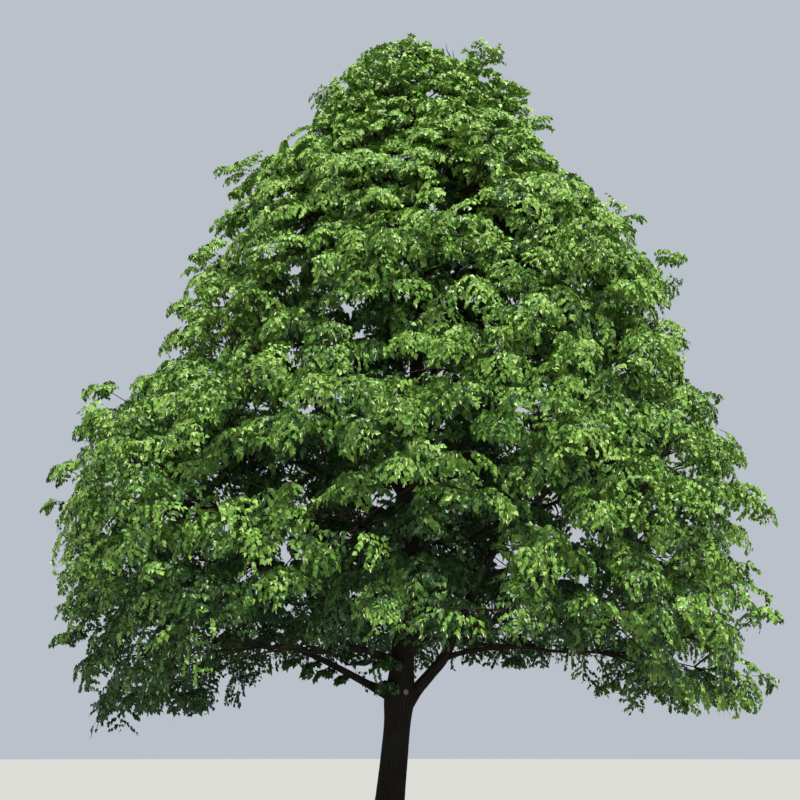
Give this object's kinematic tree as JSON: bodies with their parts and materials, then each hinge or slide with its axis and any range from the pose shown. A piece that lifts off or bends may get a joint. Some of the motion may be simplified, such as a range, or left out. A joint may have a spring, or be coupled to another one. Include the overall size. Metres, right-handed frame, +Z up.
{
  "type": "small-leaved lime tree",
  "caption": "Small-leaved lime that stands alone, with a leaning trunk, rising boughs and a broad conical crown of layered leafy masses down to a low skirt.",
  "frame": {"origin": "middle of the flat cut under the trunk, at ground level", "axes": "+Z up; +X is the side that the trunk leans to, on the right in the usual view, which looks along +Y"},
  "size_m": [11.7319, 10.7699, 13.5452],
  "materials": {
    "bark": "rough fissured dark bark",
    "foliage": "fresh green leaves with a soft sheen"
  },
  "bodies": {
    "root": {"trunk": "bark", "bough_right_fork": "bark", "bough_skirt_2": "bark", "bough_skirt_3": "bark", "bough_left": "bark", "bough_skirt_5": "bark", "bough_skirt_6": "bark", "bough_low_1": "bark", "bough_low_2": "bark", "bough_low_3": "bark", "bough_low_4": "bark", "bough_low_5": "bark", "bough_low_6": "bark", "bough_right": "bark", "bough_middle_2": "bark", "bough_middle_3": "bark", "bough_middle_4": "bark", "bough_middle_5": "bark", "bough_upper_1": "bark", "bough_upper_2": "bark", "bough_upper_3": "bark", "bough_upper_4": "bark", "bough_high_1": "bark", "bough_high_2": "bark", "bough_high_3": "bark", "foliage_skirt_1": "foliage", "foliage_skirt_2": "foliage", "foliage_skirt_3": "foliage", "foliage_skirt_4": "foliage", "foliage_skirt_5": "foliage", "foliage_skirt_6": "foliage", "foliage_low_1": "foliage", "foliage_low_2": "foliage", "foliage_low_3": "foliage", "foliage_low_4": "foliage", "foliage_low_5": "foliage", "foliage_low_6": "foliage", "foliage_middle_1": "foliage", "foliage_middle_2": "foliage", "foliage_middle_3": "foliage", "foliage_middle_4": "foliage", "foliage_middle_5": "foliage", "foliage_upper_1": "foliage", "foliage_upper_2": "foliage", "foliage_upper_3": "foliage", "foliage_upper_4": "foliage", "foliage_high_1": "foliage", "foliage_high_2": "foliage", "foliage_high_3": "foliage", "foliage_top": "foliage"}
  },
  "joints": []
}
